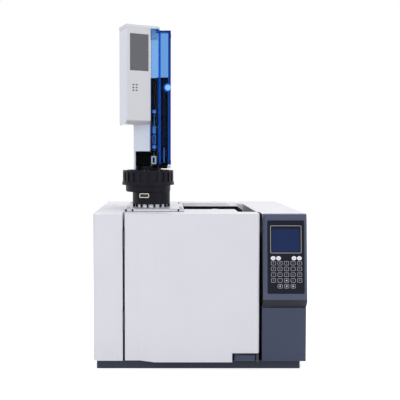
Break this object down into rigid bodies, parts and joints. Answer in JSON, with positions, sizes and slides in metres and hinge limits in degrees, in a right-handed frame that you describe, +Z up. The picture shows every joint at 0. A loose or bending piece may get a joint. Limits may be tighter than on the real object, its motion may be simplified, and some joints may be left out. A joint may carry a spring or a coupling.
{
  "type": "gas chromatograph",
  "caption": "Bench gas chromatograph with hinged oven door, sloped control panel and a sampler tower with carousel and hinged transparent cover.",
  "frame": {"origin": "on the bench under the middle of the instrument's bounding box", "axes": "+X to the right seen from the front, +Y to the back, +Z up"},
  "size_m": [0.62, 0.548, 1.016],
  "materials": {
    "bezel_slate": "fine texture",
    "board_green": "solder mask",
    "brass": "turned",
    "carriage_metal": "anodised",
    "column_brown": "polyimide coating",
    "cover_blue": "clear tinted acrylic",
    "cover_white": "fine satin paint",
    "dark_plastic": "matte",
    "display_grey": "smoked",
    "gasket": "braided fibre",
    "heater_metal": "oxidised",
    "hinge_dark": "black oxide",
    "injector_metal": "turned",
    "insulation": "ceramic fibre board",
    "key_white": "satin",
    "lcd_blue": "glossy",
    "liner_steel": "brushed",
    "motor_metal": "cast",
    "overlay_navy": "printed film",
    "plain_steel": "plain",
    "plate_silver": "brushed",
    "plinth_slate": "satin moulding",
    "port_metal": "plated",
    "rubber": "matte",
    "syringe_glass": "clear",
    "tower_black": "fine texture",
    "tower_white": "satin moulding",
    "tray_black": "matte paint",
    "vial_glass": "clear"
  },
  "bodies": {
    "cabinet": {"back_panel": "cover_white", "base_plinth": "plinth_slate", "capillary_column": "column_brown", "carousel_skirt": "tower_black", "column_hanger": "liner_steel", "compartment_tray": "tray_black", "control_bezel": "bezel_slate", "control_board": "board_green", "cover_pivots": "plain_steel", "detector": "injector_metal", "display_glass": "display_grey", "display_housing": "tower_white", "exhaust_duct": "plain_steel", "fan_guard": "liner_steel", "fan_motor": "motor_metal", "frame_hinge_leaves": "hinge_dark", "front_top_panel": "cover_white", "gas_fittings": "brass", "guide_rods": "plain_steel", "heater_coil": "heater_metal", "injector": "injector_metal", "keypad_overlay": "overlay_navy", "latch_housing": "dark_plastic", "lcd_screen": "lcd_blue", "left_cover": "cover_white", "lower_cover": "bezel_slate", "lower_housing": "tower_white", "mounting_plate": "plate_silver", "oven_liner": "liner_steel", "oven_shell": "insulation", "pedestal": "tower_black", "pedestal_ports": "port_metal", "plate_screws": "plain_steel", "port_plug": "cover_white", "power_inlet": "dark_plastic", "rear_top_cover": "cover_white", "right_cover": "cover_white", "rubber_feet": "rubber", "top_cap": "tower_white", "tower_frame": "tower_black"},
    "oven_door": {"door_shell": "cover_white", "door_liner": "liner_steel", "door_gasket": "gasket", "door_hinge_leaves": "hinge_dark", "latch_striker": "plain_steel"},
    "release_button": {"latch_button": "bezel_slate"},
    "fan": {"oven_fan": "liner_steel"},
    "key_1": {"softkey_1": "key_white"},
    "key_2": {"softkey_2": "key_white"},
    "key_3": {"softkey_3": "key_white"},
    "key_4": {"softkey_4": "key_white"},
    "flap": {"exhaust_flap": "plain_steel"},
    "switch": {"power_switch": "dark_plastic"},
    "carousel": {"carousel": "tower_black", "vials": "vial_glass"},
    "syringe_slide": {"syringe": "syringe_glass", "syringe_carriage": "carriage_metal"},
    "plunger_slide": {"plunger": "plain_steel", "plunger_carriage": "carriage_metal"},
    "tower_cover": {"sampler_cover": "cover_blue"}
  },
  "joints": [
    {"name": "oven_door_hinge", "type": "hinge", "parent": "cabinet", "child": "oven_door", "pos_m": [-0.2203, -0.25, 0.24], "axis": [0, 0, -1], "range_deg": [0, 100]},
    {"name": "door_release", "type": "slide", "parent": "cabinet", "child": "release_button", "axis": [0, 1, 0], "range_m": [0, 0.005], "stiffness_N_per_m": 400, "springref_m": -0.003},
    {"name": "oven_fan_spin", "type": "hinge", "parent": "cabinet", "child": "fan", "pos_m": [-0.0225, 0, 0.205], "axis": [0, 1, 0], "continuous": true},
    {"name": "softkey_1_press", "type": "slide", "parent": "cabinet", "child": "key_1", "axis": [0, 0.9973, -0.0736], "range_m": [0, 0.0015], "stiffness_N_per_m": 300, "springref_m": -0.002},
    {"name": "softkey_2_press", "type": "slide", "parent": "cabinet", "child": "key_2", "axis": [0, 0.9973, -0.0736], "range_m": [0, 0.0015], "stiffness_N_per_m": 300, "springref_m": -0.002},
    {"name": "softkey_3_press", "type": "slide", "parent": "cabinet", "child": "key_3", "axis": [0, 0.9973, -0.0736], "range_m": [0, 0.0015], "stiffness_N_per_m": 300, "springref_m": -0.002},
    {"name": "softkey_4_press", "type": "slide", "parent": "cabinet", "child": "key_4", "axis": [0, 0.9973, -0.0736], "range_m": [0, 0.0015], "stiffness_N_per_m": 300, "springref_m": -0.002},
    {"name": "exhaust_flap_swing", "type": "hinge", "parent": "cabinet", "child": "flap", "pos_m": [-0.0225, 0.266, 0.331], "axis": [1, 0, 0], "range_deg": [0, 70]},
    {"name": "power_switch_tip", "type": "hinge", "parent": "cabinet", "child": "switch", "pos_m": [0.258, 0.244, 0.117], "axis": [-1, 0, 0], "range_deg": [0, 14]},
    {"name": "carousel_turn", "type": "hinge", "parent": "cabinet", "child": "carousel", "pos_m": [-0.153, -0.079, 0.56], "axis": [0, 0, 1], "continuous": true},
    {"name": "syringe_lift", "type": "slide", "parent": "cabinet", "child": "syringe_slide", "axis": [0, 0, -1], "range_m": [0, 0.034]},
    {"name": "plunger_draw", "type": "slide", "parent": "syringe_slide", "child": "plunger_slide", "axis": [0, 0, 1], "range_m": [0, 0.04]},
    {"name": "tower_cover_hinge", "type": "hinge", "parent": "cabinet", "child": "tower_cover", "pos_m": [-0.0845, -0.1185, 0.8], "axis": [0, 0, 1], "range_deg": [0, 110]}
  ]
}
